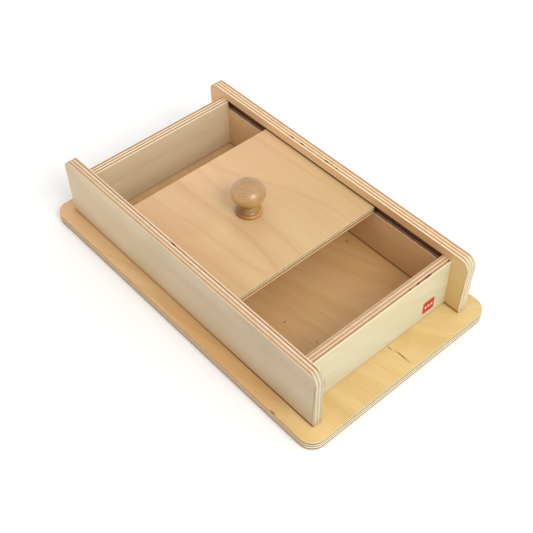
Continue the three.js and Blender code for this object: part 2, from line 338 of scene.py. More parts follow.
def veneer(finish, along, across, seed, look, tinted):
    """The rotary-cut face of a board: soft bands along its grain, blushes, contour lines and fine fibres.
    The tints are for the face where tinted is 1. Returns its colour and the height of its fibres."""
    drift = finish.noise(finish.point(finish.times(along, 7.0), finish.times(across, 9.0), seed), detail=1.0)
    fan = finish.times(finish.times(along, finish.math("MAXIMUM", across, 0.0)), look["twist"])
    bent = finish.plus(finish.plus(across, finish.times(along, look["slant"])),
                       finish.plus(fan, finish.times(drift, look["wander"])))
    band = finish.noise(finish.point(finish.times(along, 4.0), finish.times(bent, look["bands"]),
                                     finish.plus(seed, 5.3)), detail=2.5)
    mottle = finish.noise(finish.point(finish.times(along, 12.0), finish.times(bent, 19.0),
                                       finish.plus(seed, 11.7)), detail=2.0)
    field = finish.noise(finish.point(finish.times(along, 3.0), finish.times(bent, 20.0),
                                      finish.plus(seed, 23.1)), detail=0.5)
    wave = finish.math("SINE", finish.times(field, look["contours"]))
    fibre = finish.noise(finish.point(finish.times(along, 55.0), finish.times(bent, 1500.0),
                                      finish.plus(seed, 31.9)), detail=3.0, roughness=0.6)
    fleck = finish.noise(finish.point(finish.times(along, 210.0), finish.times(bent, 1300.0),
                                      finish.plus(seed, 47.7)), detail=1.0)

    tone = finish.mix(finish.step(band, 0.32, 0.68), colour(look["light"]), colour(look["deep"]))
    tone = finish.mix(finish.step(mottle, 0.42, 0.70, 0.0, look["mottle"]), tone, colour(look["blush"]))
    tone = finish.mix(finish.step(wave, 0.86, 1.0, 0.0, look["contour"]), tone, colour(look["stain"]))
    tone = finish.mix(finish.step(fibre, 0.35, 0.75, 0.0, 0.13), tone, colour(look["stain"]))
    tone = finish.mix(finish.step(fleck, 0.70, 0.80, 0.0, 0.18), tone, colour(look["fleck"]))
    for start, end, tint in look["tints"]:
        share = finish.times(finish.step(along, start * MM, end * MM), tinted)
        tone = finish.mix(share, tone, finish.mix(1.0, tone, tint, "MULTIPLY"))
    return tone, fibre


# Dark brown of the pin knots, and painted shade inside the core voids and the chip.
KNOT_TONE_AND_VOID_SHADE = "57290f"
STAIN = "8e5a22"
PLY_WAVER = 0.3 * MM                # how far the plies' edges wander
FOOT_SHADE_HEIGHT = 14 * MM                 # how far up a board the warm painted shade at its foot reaches
FOOT_SHADOW_LINE = (1.7 * MM, 2.7 * MM)   # heights between which the painted shadow line along the joint with the base fades out


def cut_plies(finish, depth, endwise, bounds, edges):
    """The plies where a board is cut. endwise is 0 on an edge along the face's grain and 1 on one across it.
    Returns their colour and the height of their pores."""
    long_lights, long_darks, cross_lights, cross_darks = edges
    tone = finish.mix(endwise, finish.ramp(depth, ply_stops(bounds, long_lights, long_darks)),
                      finish.ramp(depth, ply_stops(bounds, cross_lights, cross_darks)))
    run = finish.noise(finish.place, scale=160.0, detail=3.0, roughness=0.7)
    pores = finish.noise(finish.place, scale=1400.0, detail=2.0, roughness=0.6)
    tone = finish.mix(finish.step(run, 0.40, 0.70, 0.0, 0.18), tone, colour("a67a4c"))
    return finish.mix(finish.step(pores, 0.45, 0.75, 0.0, 0.22), tone, colour("8f6238")), pores


def wear_and_painted_arris_light(finish, tone, facing, up, arris):
    """Paints a board's arrises that face up pale, as wear and a painted highlight, and paints what looks down
    dark, as painted shade.
    """
    pale_arris = finish.times(finish.step(facing, 0.30, 0.60), finish.step(facing, 0.88, 0.995, 1.0, 0.0))
    pale_arris = finish.times(pale_arris, finish.step(up, -0.35, -0.1))
    tone = finish.mix(finish.times(pale_arris, 0.5), tone, colour(arris))
    # painted shade on whatever looks down, such as the underside arrises where a board meets the floor or the
    # base
    return finish.mix(finish.step(up, -0.75, -0.15, 0.6, 0.0), tone, colour("5a2810"))


def foot(finish, tone, rise, along, facing, foot_shade):
    """The foot of an upright board, where rise is the height above it: warm painted shade that deepens
    downwards, and on its faces a painted shadow line along the joint with the base, which is darkest towards
    +X."""
    warm_shade = 0.42 * max(0.0, foot_shade - 0.3)
    tone = finish.mix(finish.step(rise, 0, FOOT_SHADE_HEIGHT, warm_shade, 0.0), tone, colour("b08a52"))
    gap = finish.times(finish.step(rise, *FOOT_SHADOW_LINE, foot_shade, 0.0), finish.step(facing, 0.3, 0.7))
    line = finish.mix(finish.step(along, -20 * MM, 110 * MM), colour("a4783e"), colour("601a04"))
    return finish.mix(gap, tone, line)


def plywood(name, low, high, thin, grain, look, edges, bounds=NINE_MM_PLIES, seed=0.0, marks=(), veer=0.0,
            foot_shade=0.0, groove_shade_reach=None):
    """Birch plywood. thin is the axis through the plies and grain the axis of the face's fibres. marks are
    spots as (middle, radii, strength, tone) in millimetres. veer is how far the plies drift towards the low
    face at the board's high end, foot_shade is the strength of the painted shade and painted shadow line
    along its foot, and groove_shade_reach is how far from the middle a sliding board's sides, which run in
    the grooves, are painted dark as painted shade."""
    finish = Finish(name)
    place = finish.split(finish.place)
    normal = finish.split(finish.normal)
    across_name = next(axis for axis in "xyz" if axis not in (thin, grain))
    along, across, through = place[grain], place[across_name], place[thin]
    start = low["xyz".index(thin)]
    thickness = high["xyz".index(thin)] - start

    depth = finish.math("DIVIDE", finish.math("SUBTRACT", through, start), thickness)
    waver = finish.noise(finish.place, scale=45.0, detail=2.0)
    uneven = finish.plus(depth, finish.times(finish.plus(waver, -0.5), PLY_WAVER / thickness))
    if veer:
        uneven = finish.plus(uneven, finish.step(normal[grain], 0.1, 0.95, 0.0, veer / thickness))

    upper = finish.step(depth, 0.4, 0.6)
    tinted = upper if thin == "z" else finish.math("SUBTRACT", 1.0, upper)
    face, fibre = veneer(finish, along, across, finish.plus(seed, finish.times(upper, 3.3)), look, tinted)
    endwise = finish.step(finish.math("ABSOLUTE", normal[grain]), 0.15, 0.60)
    cut, pores = cut_plies(finish, uneven, endwise, bounds, edges)
    facing = finish.math("ABSOLUTE", normal[thin])
    tone = finish.mix(finish.step(facing, 0.60, 0.93), cut, face)

    tone = wear_and_painted_arris_light(finish, tone, facing, normal["z"], look["arris"])
    # painted warm shade and a painted shadow line at the foot, where the board stands on the base
    if foot_shade:
        tone = foot(finish, tone, finish.plus(place["z"], -low.z), along, facing, foot_shade)
    # painted shade on the sides of the lid, where they run in the grooves
    if groove_shade_reach:
        tone = finish.mix(finish.step(finish.math("ABSOLUTE", across), groove_shade_reach, groove_shade_reach + 0.3 * MM, 0.0, 0.75),
                          tone, colour("3a2216"))
    for middle, radii, strength, mark_tone in marks:
        tone = finish.mix(finish.times(finish.mark(middle, radii), strength), tone, colour(mark_tone))

    on_face = finish.step(facing, 0.6, 0.95)
    rough = finish.step(facing, 0.6, 0.95, 0.62, 0.46)
    rough = finish.plus(rough, finish.times(finish.plus(fibre, -0.5), 0.12))
    finish.bump(finish.mix(on_face, pores, fibre), 0.05 * MM, 0.35)
    return finish.paint(tone, rough)


# Bounds of the streaks in a groove, in millimetres from the board's inner face, and their tones, which
# darken inwards as painted shade.
GROOVE_STREAKS = (0, 1.2, 2.1, 3.0, 4.6, 9)
GROOVE_TONES = (("e2bc92", "cc9a76", "8a5c42"), ("6c4230", "68402e"))


def routed_groove(name, inner, inward, seed):
    """The groove's plies, in streaks that follow the groove and darken inwards as painted shade, with finer
    dark streaks along it.
    """
    finish = Finish(name, 0.7)
    place = finish.split(finish.place)
    wander = finish.noise(finish.point(finish.times(place["x"], 60.0), finish.times(place["y"], 300.0), seed),
                          detail=2.0)
    depth = finish.times(finish.plus(place["y"], -inner), -inward / (GROOVE_STREAKS[-1] * MM))
    depth = finish.plus(depth, finish.times(finish.plus(wander, -0.5), 0.04))
    tone = finish.ramp(depth, ply_stops(GROOVE_STREAKS, *GROOVE_TONES))
    dark_streak = finish.noise(finish.point(finish.times(place["x"], 220.0), finish.times(place["y"], 500.0),
                                     finish.times(place["z"], 500.0)), detail=3.0, roughness=0.6)
    tone = finish.mix(finish.step(dark_streak, 0.40, 0.70, 0.0, 0.40), tone, colour("4a2a1c"))
    finish.bump(dark_streak, 0.1 * MM, 0.5)
    return finish.paint(tone, finish.step(dark_streak, 0.3, 0.7, 0.6, 0.8))


# ---- Mesh helpers -------------------------------------------------------------------------------------

# Turns an outline's u and v into X and Z, and its thickness towards -Y.
UPRIGHT = Matrix.Rotation(math.pi / 2, 4, "X")


def rounded(corners, steps=12):
    """An outline through right-angled corners, given anticlockwise as (u, v, radius)."""
    points = []
    for i, (u, v, radius) in enumerate(corners):
        here = Vector((u, v))
        if not radius:
            points.append(here)
            continue
        before = (Vector(corners[i - 1][:2]) - here).normalized()
        after = (Vector(corners[(i + 1) % len(corners)][:2]) - here).normalized()
        centre = here + (before + after) * radius
        for step in range(steps + 1):
            angle = math.pi / 2 * step / steps
            points.append(centre - radius * (after * math.cos(angle) + before * math.sin(angle)))
    return points


def rectangle(low_u, high_u, low_v, high_v, radius, steps=12):
    corners = ((low_u, low_v), (high_u, low_v), (high_u, high_v), (low_u, high_v))
    return rounded([(u, v, radius) for u, v in corners], steps)


def prism(shape, outline, thickness, place):
    """Adds a closed board of the outline, from 0 to its thickness along its own Z, moved by the matrix."""
    under = [shape.verts.new(place @ Vector((u, v, 0))) for u, v in outline]
    upper = [shape.verts.new(place @ Vector((u, v, thickness))) for u, v in outline]
    shape.faces.new(under[::-1])
    shape.faces.new(upper)
    for i in range(len(outline)):
        shape.faces.new((under[i - 1], under[i], upper[i], upper[i - 1]))


def revolve(shape, profile, sides, place=Matrix(), swell=None):
    """Adds a solid turned about its own Z from (radius, height) pairs, which go up from the axis to the axis.
    swell, where there is one, changes a radius for its angle and height."""
    rings = []
    for radius, height in profile:
        if radius == 0:
            rings.append([shape.verts.new(place @ Vector((0, 0, height)))])
            continue
        ring = []
        for side in range(sides):
            angle = 2 * math.pi * side / sides
            reach = swell(radius, angle, height) if swell else radius
            ring.append(shape.verts.new(place @ Vector((
                reach * math.cos(angle), reach * math.sin(angle), height))))
        rings.append(ring)
    for lower, upper in zip(rings, rings[1:]):
        for i in range(sides):
            corners = [lower[(i - 1) % len(lower)], lower[i % len(lower)],
                       upper[i % len(upper)], upper[(i - 1) % len(upper)]]
            shape.faces.new(list(dict.fromkeys(corners)))


def soften(shape, width, segments, chosen):
    """Rounds the edges for which chosen(edge) is true."""
    edges = [edge for edge in shape.edges if chosen(edge)]
    bmesh.ops.bevel(shape, geom=edges, offset=width, segments=segments, profile=0.5, affect="EDGES",
                    clamp_overlap=True)


def at(value, place):
    return abs(value - place) < 1e-6


def flat_at(edge, axis, place):
    """True if both ends of the edge lie in the plane where the axis is at that place."""
    return all(at(vertex.co["xyz".index(axis)], place) for vertex in edge.verts)


def to_object(name, shape):
    mesh = bpy.data.meshes.new(name)
    bmesh.ops.recalc_face_normals(shape, faces=shape.faces)
    shape.to_mesh(mesh)
    shape.free()
    result = bpy.data.objects.new(name, mesh)
    bpy.context.scene.collection.objects.link(result)
    return result


def carve(shape, tools, crossing=False):
    """The shape with the tools cut out of it. Both are used up. crossing says that the tools overlap."""
    body, cutter = to_object("uncut", shape), to_object("cutter", tools)
    cut = body.modifiers.new("cut", "BOOLEAN")
    cut.operation = "DIFFERENCE"
    cut.solver = "EXACT"
    cut.use_self = crossing
    cut.object = cutter
    result = bmesh.new()
    result.from_object(body, bpy.context.evaluated_depsgraph_get())
    for used in (body, cutter):
        bpy.data.objects.remove(used)
    return result


def piece(name, shape, body, material, nodes, sharp=35):
    """Makes the shape a piece that stands for CAD nodes, and rides on their body."""
    made = to_object(name, shape)
    made.data.materials.append(material)
    made.data.polygons.foreach_set("use_smooth", [True] * len(made.data.polygons))
    made.data.set_sharp_from_angle(angle=math.radians(sharp))
    tidy = made.modifiers.new("normals", "WEIGHTED_NORMAL")
    tidy.keep_sharp = True
    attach(made, body)
    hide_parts(*nodes)
    return made


# ---- Fasteners ----------------------------------------------------------------------------------------

def nodes_named(start):
    return sorted(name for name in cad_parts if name.startswith(start))


def middle_of(node):
    low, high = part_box(node)
    return (low + high) / 2


DOWELS = nodes_named("dowel_")
BASE_SCREWS = nodes_named("base_screw_")


def screw_hole(tools, node):
    """The countersunk hole round a screw, open to below."""
    low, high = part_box(node)
    centre = middle_of(node)
    head, shank = HEAD_RADIUS + FIT, SHANK_RADIUS + FIT
    revolve(tools, [
        (0, -SCREW_SINK - MM), (head, -SCREW_SINK - MM), (head, HEAD_LAND), (shank, HEAD_CONE),
        (shank, high.z - low.z + FIT), (0, high.z - low.z + FIT),
    ], 32, Matrix.Translation((centre.x, centre.y, low.z)))


def dowel_hole(tools, node):
    low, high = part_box(node)
    centre = middle_of(node)
    length = high.y - low.y + 2 * FIT
    radius = DOWEL_RADIUS + FIT
    revolve(tools, [(0, 0), (radius, 0), (radius, length), (0, length)], 24,
            Matrix.Translation((centre.x, high.y + FIT, centre.z)) @ UPRIGHT)


# ---- Boards -------------------------------------------------------------------------------------------

def crumb(tools, middle, radii, seed):
    """Adds an uneven lump, for cutting a void or a chip. Its place and size are in millimetres."""
    lump = bmesh.ops.create_icosphere(tools, subdivisions=2, radius=1.0)["verts"]
    for i, vertex in enumerate(lump):
        uneven = 1 + 0.22 * math.sin(seed + 2.3 * i) * math.cos(1.7 * i - seed)
        vertex.co = Vector([(m + r * c * uneven) * MM for m, r, c in zip(middle, radii, vertex.co)])


def make_base(material):
    shape = bmesh.new()
    prism(shape, rectangle(BASE_LOW.x, BASE_HIGH.x, BASE_LOW.y, BASE_HIGH.y, BASE_CORNER, 20),
          BASE_HIGH.z - BASE_LOW.z, Matrix.Translation((0, 0, BASE_LOW.z)))
    soften(shape, BASE_TOP_ARRIS, 4, lambda edge: flat_at(edge, "z", BASE_HIGH.z))
    soften(shape, BASE_UNDER_ARRIS, 3, lambda edge: flat_at(edge, "z", BASE_LOW.z))
    tools = bmesh.new()
    for node in BASE_SCREWS:
        screw_hole(tools, node)
    crumb(tools, *BASE_CHIP, 1.0)
    piece("base_plate_board", carve(shape, tools), "box", material, ["base_plate"])


def make_side(name, low, high, inward, material, groove_material, node, voids):
    """A side panel. Its inner face looks along inward times Y."""
    inner = high.y if inward > 0 else low.y
    groove_low = LID_LOW.z - LID_LIFT
    groove_reach = LID_LOW.y - LID_SIDE_GAP if inward > 0 else LID_HIGH.y + LID_SIDE_GAP

    shape = bmesh.new()
    outline = rounded([
        (low.x, low.z, 0), (high.x, low.z, 0), (high.x, high.z, SIDE_CORNER), (low.x, high.z, SIDE_CORNER),
    ], 16)
    prism(shape, outline, high.y - low.y, Matrix.Translation((0, high.y, 0)) @ UPRIGHT)
    soften(shape, SIDE_ARRIS, 4, lambda edge: not flat_at(edge, "z", low.z) and (
        flat_at(edge, "y", low.y) or flat_at(edge, "y", high.y)))
    soften(shape, UNDER_ARRIS, 2, lambda edge: flat_at(edge, "z", low.z) and (
        flat_at(edge, "y", low.y) or flat_at(edge, "y", high.y)))

    tools = bmesh.new()
    hidden_end = GROOVE_HEIGHT / 2      # behind an end panel
    nearly_round = hidden_end * 0.999   # a full half round would double the points in its middle
    slot_outline = rectangle(LEFT_HIGH.x - hidden_end, RIGHT_LOW.x + hidden_end, groove_low,
                             groove_low + GROOVE_HEIGHT, nearly_round, 10)
    depth = abs(inner - groove_reach) + MM
    start = inner + MM if inward > 0 else groove_reach
    prism(tools, slot_outline, depth, Matrix.Translation((0, start, 0)) @ UPRIGHT)
    for dowel in DOWELS:
        if low.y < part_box(dowel)[0].y < high.y or low.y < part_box(dowel)[1].y < high.y:
            dowel_hole(tools, dowel)
    for screw in BASE_SCREWS:
        if low.y < middle_of(screw).y < high.y:
            screw_hole(tools, screw)
    for i, (middle, radii) in enumerate(voids):
        crumb(tools, middle, radii, 1.9 * i)
    shape = carve(shape, tools)
    soften(shape, GROOVE_ARRIS, 2, lambda edge: flat_at(edge, "y", inner) and edge.is_manifold and (
        edge.calc_face_angle() > 1 and all(
            groove_low - FIT < v.co.z < groove_low + GROOVE_HEIGHT + FIT for v in edge.verts)))
    made = piece(name, shape, "box", material, [node])
    made.data.materials.append(groove_material)
    groove_depth = abs(inner - groove_reach)
    for face in made.data.polygons:
        inside = (inner - face.center.y) * inward
        if GROOVE_ARRIS < inside < groove_depth + FIT and LEFT_LOW.x < face.center.x < RIGHT_HIGH.x:
            face.material_index = int(groove_low - FIT < face.center.z < groove_low + GROOVE_HEIGHT + FIT)


def make_end(name, low, high, material, node, voids):
    shape = bmesh.new()
    prism(shape, rectangle(low.x, high.x, low.z, high.z, 0), high.y - low.y,
          Matrix.Translation((0, high.y, 0)) @ UPRIGHT)
    soften(shape, END_ARRIS, 4, lambda edge: flat_at(edge, "z", high.z) and (
        flat_at(edge, "x", low.x) or flat_at(edge, "x", high.x)))
    tools = bmesh.new()
    for dowel in DOWELS:
        if low.x < middle_of(dowel).x < high.x:
            dowel_hole(tools, dowel)
    for screw in BASE_SCREWS:
        if low.x < middle_of(screw).x < high.x:
            screw_hole(tools, screw)
    for i, (middle, radii) in enumerate(voids):
        crumb(tools, middle, radii, 2.7 * i)
    piece(name, carve(shape, tools), "box", material, [node])


def make_lid(material):
    shape = bmesh.new()
    prism(shape, rectangle(LID_LOW.x, LID_HIGH.x, LID_LOW.y, LID_HIGH.y, LID_CORNER, 8),
          LID_HIGH.z - LID_LOW.z, Matrix.Translation((0, 0, LID_LOW.z)))
    soften(shape, LID_ARRIS, 3, lambda edge: flat_at(edge, "z", LID_HIGH.z) or flat_at(edge, "z", LID_LOW.z))
    tools = bmesh.new()
    screw_hole(tools, "knob_screw")
    piece("lid_panel_board", carve(shape, tools), "lid", material, ["lid_panel"])


# ---- Knob ---------------------------------------------------------------------------------------------

# Radius and height above the lid in millimetres, from the foot's edge to under the head.
KNOB_STEM = ((10.0, 0.0), (10.6, 0.35), (10.85, 1.2), (10.6, 2.1), (9.8, 2.75), (8.8, 2.95), (8.35, 3.15),
             (7.7, 4.0), (7.05, 5.4), (6.8, 7.0), (7.05, 8.8), (7.85, 10.4), (8.75, 11.7))
KNOB_HEAD_RADIUS = 13.65
KNOB_HEAD_MIDDLE = 19.6             # height of its widest ring
KNOB_HEAD_UPPER = 9.4
KNOB_HEAD_LOWER = 9.0
KNOB_HEAD_FULLNESS = 2.3            # of its lower part, where 2 is an ellipse
KNOB_HEAD_START = -0.93             # angle at which the head leaves the stem


def between(points, steps):
    """A smooth curve through the points, with that many steps from each to the next."""
    padded = [points[0], *points, points[-1]]
    curve = []
    for p0, p1, p2, p3 in zip(padded, padded[1:], padded[2:], padded[3:]):
        for step in range(steps):
            t = step / steps
            curve.append(tuple(
                0.5 * (2 * b + (c - a) * t + (2 * a - 5 * b + 4 * c - d) * t ** 2
                       + (3 * b - a - 3 * c + d) * t ** 3)
                for a, b, c, d in zip(p0, p1, p2, p3)))
    return [*curve, tuple(points[-1])]


def make_knob(material):
    stem = between(KNOB_STEM, 3)
    head_steps = 28
    head = []
    for step in range(1, head_steps):
        rise = math.sin(KNOB_HEAD_START + (math.pi / 2 - KNOB_HEAD_START) * step / head_steps)
        half, power = (KNOB_HEAD_LOWER, KNOB_HEAD_FULLNESS) if rise < 0 else (KNOB_HEAD_UPPER, 2)
        share = (1 - abs(rise) ** power) ** (1 / power)
        head.append((KNOB_HEAD_RADIUS * share, KNOB_HEAD_MIDDLE + half * rise))
    head.append((0, KNOB_HEAD_MIDDLE + KNOB_HEAD_UPPER))
    profile = [(r * MM, h * MM) for r, h in [(0, 0), *stem, *head]]
    shape = bmesh.new()
    centre = (KNOB_LOW + KNOB_HIGH) / 2
    revolve(shape, profile, 96, Matrix.Translation((centre.x, centre.y, KNOB_LOW.z)))
    tools = bmesh.new()
    screw_hole(tools, "knob_screw")
    piece("lid_knob_turned", carve(shape, tools), "lid", material, ["lid_knob"])


# ---- Screws, dowels and label -------------------------------------------------------------------------

THREAD_PITCH = 1.6 * MM
THREAD_START = 0.28                 # share of the screw's length below its thread
THREAD_ROOT = 0.72                  # share of the shank's radius between the thread's turns
BARE_POINT = 1.5 * MM
POINT_LENGTH = 5 * MM
POINT_BLUNT = 0.12                  # share of the shank's radius left at the point
RECESS_WING = ((-2.1, -0.5), (2.1, -0.5), (0.9, 1.7), (-0.9, 1.7))      # in millimetres, from the head's face
RECESS_WIDTH = 0.8 * MM
DOWEL_FLUTES = 18
DOWEL_CHAMFER = 0.7 * MM


def make_screw(name, node, body, material):
    """A countersunk wood screw with a cross recess, its head downwards."""
    low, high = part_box(node)
    length = high.z - low.z

    def thread(radius, angle, height):
        if not THREAD_START * length < height < length - BARE_POINT:
            return radius
        phase = (height / THREAD_PITCH - angle / (2 * math.pi)) % 1
        crest = max(0.0, 1 - abs(phase - 0.5) * 4)
        return radius * (THREAD_ROOT + (1 - THREAD_ROOT) * crest)

    profile = [(0, 0), (HEAD_RADIUS - 0.15 * MM, 0), (HEAD_RADIUS, 0.1 * MM), (HEAD_RADIUS, HEAD_LAND),
               (SHANK_RADIUS + 0.2 * MM, HEAD_CONE - 0.25 * MM), (SHANK_RADIUS, HEAD_CONE + 0.15 * MM)]
    steps = int((length - HEAD_CONE) / (0.2 * MM))
    for step in range(1, steps):
        height = HEAD_CONE + (length - HEAD_CONE) * step / steps
        taper = min(1.0, (length - height) / POINT_LENGTH)
        profile.append((SHANK_RADIUS * (POINT_BLUNT + (1 - POINT_BLUNT) * taper), height))
    profile.append((0, length))
    shape = bmesh.new()
    centre = middle_of(node)
    place = Matrix.Translation((centre.x, centre.y, low.z))
    revolve(shape, profile, 20, place, thread)
    tools = bmesh.new()
    wing = [(u * MM, v * MM) for u, v in RECESS_WING]
    for turn in (0, math.pi / 2):
        prism(tools, wing, RECESS_WIDTH, place @ Matrix.Rotation(turn, 4, "Z")
              @ Matrix.Translation((0, RECESS_WIDTH / 2, 0)) @ UPRIGHT)
    piece(name, carve(shape, tools, crossing=True), body, material, [node])


def make_dowel(name, node, material):
    """A fluted beech dowel with chamfered ends, lying along Y."""
    low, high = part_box(node)
    length = high.y - low.y
    shoulder = length - DOWEL_CHAMFER

    def flutes(radius, angle, height):
        inside = DOWEL_CHAMFER < height < shoulder
        return radius * (1 - 0.05 * (0.5 + 0.5 * math.cos(angle * DOWEL_FLUTES))) if inside else radius

    profile = [(0, 0), (DOWEL_RADIUS - DOWEL_CHAMFER, 0), (DOWEL_RADIUS * 0.97, DOWEL_CHAMFER)]
    for step in range(1, 10):
        profile.append((DOWEL_RADIUS, DOWEL_CHAMFER + (shoulder - DOWEL_CHAMFER) * step / 10))
    profile += [(DOWEL_RADIUS * 0.97, shoulder), (DOWEL_RADIUS - DOWEL_CHAMFER, length), (0, length)]
    centre = middle_of(node)
    shape = bmesh.new()
    revolve(shape, profile, 72, Matrix.Translation((centre.x, high.y, centre.z)) @ UPRIGHT, flutes)
    piece(name, shape, "box", material, [node])


def make_label(material):
    """A red vinyl square with rounded corners and softened edges."""
    thickness = LABEL_HIGH.x - LABEL_LOW.x
    outline = rectangle(LABEL_LOW.y, LABEL_HIGH.y, LABEL_LOW.z, LABEL_HIGH.z, 0.9 * MM, 8)
    stand = Matrix(((0, 0, 1, LABEL_LOW.x), (1, 0, 0, 0), (0, 1, 0, 0), (0, 0, 0, 1)))
    shape = bmesh.new()
    prism(shape, outline, thickness, stand)
    soften(shape, 0.08 * MM, 2, lambda edge: flat_at(edge, "x", LABEL_HIGH.x))
    piece("label_sticker", shape, "box", material, ["label"])


# ---- Other materials ----------------------------------------------------------------------------------

PITH_HEIGHT = 15 * MM               # of the growth rings' middle, above the knob
RING_WIDTH = 1.9 * MM
KNOB_GRAIN = 0.85                   # its direction from +X
KNOB_TONES_HEIGHT = 30 * MM
# Tones up the knob, as shares of that height. They hold painted shade in the crease above the flange and
# under the head, and a painted highlight round the neck.
KNOB_TONES = ((0.02, "a8661c"), (0.09, "be8228"), (0.12, "8f7040"), (0.25, "b0935f"), (0.38, "8a5c28"),
              (0.50, "ae803c"), (0.66, "b79252"), (0.85, "b58a5c"), (1.0, "b4875e"))


def turned_beech(name):
    """Lacquered beech, turned across its growth rings. It is more golden towards its foot, and carries
    painted light and shade across its head and in its tones up the knob.
    """
    finish = Finish(name, 0.32)
    place = finish.split(finish.place)
    centre = (KNOB_LOW + KNOB_HIGH) / 2
    x = finish.plus(place["x"], -centre.x)
    y = finish.plus(place["y"], -centre.y)
    height = finish.plus(place["z"], -KNOB_LOW.z)
    along = finish.plus(finish.times(x, math.cos(KNOB_GRAIN)), finish.times(y, math.sin(KNOB_GRAIN)))
    aside = finish.plus(finish.times(y, math.cos(KNOB_GRAIN)), finish.times(x, -math.sin(KNOB_GRAIN)))
    warp = finish.noise(finish.place, scale=48.0, detail=1.5)
    u = finish.plus(finish.plus(height, KNOB_LOW.z - KNOB_HIGH.z - PITH_HEIGHT), finish.times(along, 0.12))
    reach = finish.math("SQRT", finish.plus(finish.times(u, u), finish.times(aside, aside)))
    turns = finish.plus(finish.math("DIVIDE", reach, RING_WIDTH), finish.times(warp, 3.4))
    ring = finish.math("SINE", finish.times(turns, 2 * math.pi))
    depth = finish.step(finish.noise(finish.place, scale=110.0, detail=1.0), 0.35, 0.65, 0.0, 0.48)
    fibre = finish.noise(finish.point(finish.times(along, 120.0), finish.times(aside, 1100.0),
                                      finish.times(height, 1100.0)), detail=2.0)
    fleck = finish.noise(finish.point(finish.times(along, 350.0), finish.times(aside, 1100.0),
                                      finish.times(height, 500.0)), detail=1.0)
    wood = finish.ramp(finish.math("DIVIDE", height, KNOB_TONES_HEIGHT),
                       [(share, colour(code)) for share, code in KNOB_TONES])
    # painted light and shade across the head, from its -X -Y side to its +X +Y side: low down dark and red,
    # then bright and golden; high up light, then golden
    low = finish.mix(finish.step(along, -9 * MM, 3 * MM), (0.50, 0.28, 0.20, 1), (1, 0.98, 0.94, 1))
    low = finish.mix(finish.step(along, 3 * MM, 10 * MM), low, (1.22, 1.22, 0.84, 1))
    high = finish.mix(finish.step(along, -12 * MM, -2 * MM), (1.24, 1.27, 1.28, 1), (0.95, 0.93, 0.79, 1))
    shade = finish.mix(finish.step(height, 14 * MM, 22 * MM), low, high)
    wood = finish.mix(1.0, wood, shade, "MULTIPLY")
    tone = finish.mix(finish.times(finish.step(ring, 0.1, 1.0), depth), wood, colour("845a38"))
    tone = finish.mix(finish.step(warp, 0.35, 0.7, 0.0, 0.3), tone, colour("c8a878"))
    tone = finish.mix(finish.step(fibre, 0.4, 0.75, 0.0, 0.20), tone, colour("96683c"))
    tone = finish.mix(finish.step(fleck, 0.66, 0.76, 0.0, 0.30), tone, colour("7d532e"))
    # painted shade where the foot meets the lid and in the crease above the flange
    for crease, strength in ((0.0, 0.7), (3.2, 0.3)):
        gap = finish.math("ABSOLUTE", finish.plus(height, -crease * MM))
        tone = finish.mix(finish.step(gap, 0.1 * MM, 0.5 * MM, strength, 0.0), tone, colour("6a3c1c"))
    finish.shader.inputs["Coat Weight"].default_value = 0.8
    finish.shader.inputs["Coat Roughness"].default_value = 0.24
    finish.bump(fibre, 0.04 * MM, 0.25)
    return finish.paint(tone, finish.step(fibre, 0.3, 0.8, 0.34, 0.46))


def dowel_wood(name):
    finish = Finish(name, 0.7)
    place = finish.split(finish.place)
    fibre = finish.noise(finish.point(finish.times(place["x"], 1200.0), finish.times(place["y"], 60.0),
                                      finish.times(place["z"], 1200.0)), detail=3.0)
    tone = finish.mix(finish.step(fibre, 0.35, 0.7), colour("dcc096"), colour("bf9664"))
    finish.bump(fibre, 0.05 * MM, 0.5)
    return finish.paint(tone, finish.step(fibre, 0.3, 0.7, 0.62, 0.78))


def zinc_steel(name):
    """Bright zinc-plated steel with fine turning lines and dull patches."""
    finish = Finish(name, 0.3)
    finish.shader.inputs["Metallic"].default_value = 1.0
    place = finish.split(finish.place)
    lines = finish.noise(finish.point(finish.times(place["x"], 300.0), finish.times(place["y"], 300.0),
                                      finish.times(place["z"], 9000.0)), detail=1.0)
    patches = finish.noise(finish.place, scale=700.0, detail=2.0)
    tone = finish.mix(finish.step(patches, 0.3, 0.7), colour("c9cdd1"), colour("a9a9a4"))
    finish.bump(lines, 0.02 * MM, 0.3)
    return finish.paint(tone, finish.step(patches, 0.3, 0.7, 0.22, 0.42))


def red_vinyl(name):
    """Printed red vinyl with three plain pale dots across its middle."""
    finish = Finish(name, 0.38)
    grain = finish.noise(finish.place, scale=2600.0, detail=2.0)
    tone = finish.mix(finish.step(grain, 0.3, 0.7), colour("c2241f"), colour("b01f1c"))
    centre = (LABEL_LOW + LABEL_HIGH) / 2 / MM
    dots = [finish.mark((LABEL_HIGH.x / MM, centre.y + offset, centre.z), (1.0, 1.15, 1.15), rough=0.05)
            for offset in (-3.2, 0.0, 3.2)]
    for dot in dots:
        tone = finish.mix(dot, tone, colour("f6e6de"))
    finish.bump(grain, 0.02 * MM, 0.2)
    return finish.paint(tone, finish.step(grain, 0.3, 0.7, 0.32, 0.46))


# ---- The box ------------------------------------------------------------------------------------------

# Core gaps that show as black dashes in the boards' edges, as (middle, radii) in millimetres.
BACK_VOIDS = (
    ((-43.3, 74.0, 64.3), (2.7, 0.55, 1.6)), ((-31.5, 74.0, 64.3), (2.7, 0.6, 1.8)),
    ((-2.7, 74.0, 64.3), (2.5, 0.6, 1.7)), ((2.6, 74.1, 64.4), (1.2, 0.3, 0.8)),
    ((9.0, 74.0, 64.4), (1.4, 0.45, 1.0)),
)
FRONT_VOIDS = (((-12.5, -73.4, 64.3), (2.6, 0.55, 1.6)),)
RIGHT_VOIDS = (
    ((130.4, 70.2, 56.3), (0.5, 1.4, 1.2)), ((130.4, 47.3, 56.3), (0.75, 4.1, 0.9)),
    ((130.4, 37.3, 56.3), (0.7, 1.7, 0.9)),
)
BASE_CHIP = ((118.5, -93.5, 8.7), (2.8, 0.7, 0.7))

